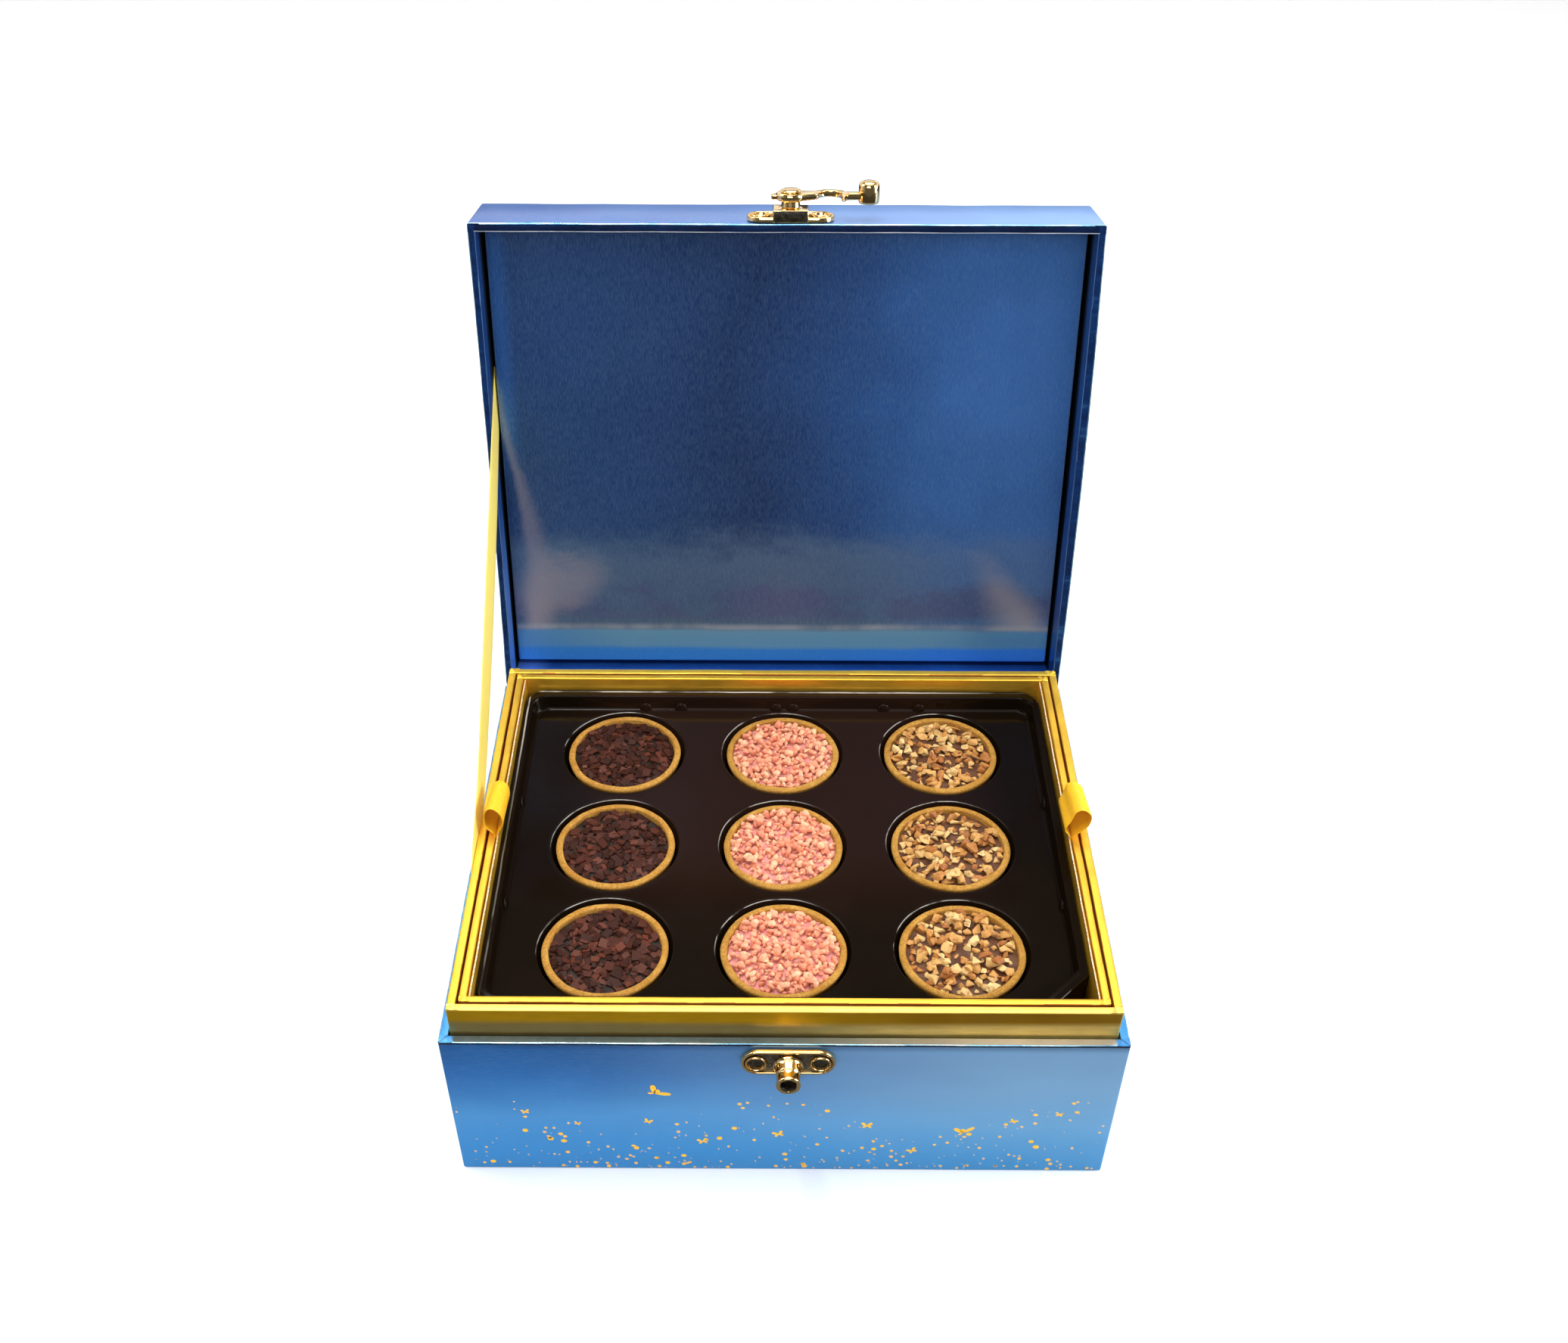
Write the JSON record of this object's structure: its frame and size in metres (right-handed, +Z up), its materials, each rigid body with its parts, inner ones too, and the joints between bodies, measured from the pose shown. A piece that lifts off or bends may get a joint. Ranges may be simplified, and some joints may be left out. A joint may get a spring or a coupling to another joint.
{
  "type": "chocolate tart gift box",
  "caption": "Open hinged gift box of foil-covered board with a gold neck and tray, a ribbon stay, a hook latch and round filled tartlets in a dark moulded insert.",
  "frame": {"origin": "centre of the box's underside, on the surface that it stands on", "axes": "+X to the right, +Y to the back where the lid is hinged, +Z up; the lid stands open as in the picture"},
  "size_m": [0.24, 0.2818, 0.2784],
  "materials": {
    "blue_foil_board": "blue pearl foil paper on board, glossy",
    "navy_foil_board": "dark blue mirror-like foil paper on board",
    "gold_paper_board": "gold metallic paper on board, satin",
    "raw_card": "raw white card edge, matt",
    "dark_plastic": "dark brown thermoformed plastic, glossy",
    "satin_ribbon": "golden yellow satin",
    "polished_gold": "polished gold plating",
    "baked_crust": "baked pastry, matt",
    "cocoa_flakes": "dark chocolate flakes on brown-grey cream",
    "pink_crunch": "pink crunch grains on pink cream",
    "chopped_nuts": "chopped nuts on milk chocolate cream"
  },
  "bodies": {
    "base": {"base_box": "blue_foil_board", "neck": "gold_paper_board", "tray_box": "gold_paper_board", "liner_left": "raw_card", "liner_right": "raw_card", "insert": "dark_plastic", "tart_shell_back_left": "baked_crust", "tart_shell_back_centre": "baked_crust", "tart_shell_back_right": "baked_crust", "tart_shell_middle_left": "baked_crust", "tart_shell_middle_centre": "baked_crust", "tart_shell_middle_right": "baked_crust", "tart_shell_front_left": "baked_crust", "tart_shell_front_centre": "baked_crust", "tart_shell_front_right": "baked_crust", "flake_filling_back": "cocoa_flakes", "crunch_filling_back": "pink_crunch", "nut_filling_back": "chopped_nuts", "flake_filling_middle": "cocoa_flakes", "crunch_filling_middle": "pink_crunch", "nut_filling_middle": "chopped_nuts", "flake_filling_front": "cocoa_flakes", "crunch_filling_front": "pink_crunch", "nut_filling_front": "chopped_nuts", "pull_loop_left": "satin_ribbon", "pull_loop_right": "satin_ribbon", "ribbon_stay": "satin_ribbon", "latch_plate_base": "polished_gold", "rivet_base_left": "polished_gold", "rivet_base_right": "polished_gold", "latch_stud": "polished_gold"},
    "lid": {"lid_shell": "blue_foil_board", "lid_panel": "navy_foil_board", "latch_plate_lid": "polished_gold", "rivet_lid_left": "polished_gold", "rivet_lid_right": "polished_gold", "latch_post": "polished_gold"},
    "hook": {"latch_hook": "polished_gold"}
  },
  "joints": [
    {"name": "lid_hinge", "type": "hinge", "parent": "base", "child": "lid", "pos_m": [0, 0.0972, 0.0752], "axis": [1, 0, 0], "range_deg": [0, 102], "deforming": ["ribbon_stay", "pull_loop_left", "pull_loop_right"]},
    {"name": "hook_swing", "type": "hinge", "parent": "lid", "child": "hook", "pos_m": [0.0015, 0.14581, 0.27261], "axis": [0, -0.2079, -0.9781], "range_deg": [0, 90]}
  ]
}
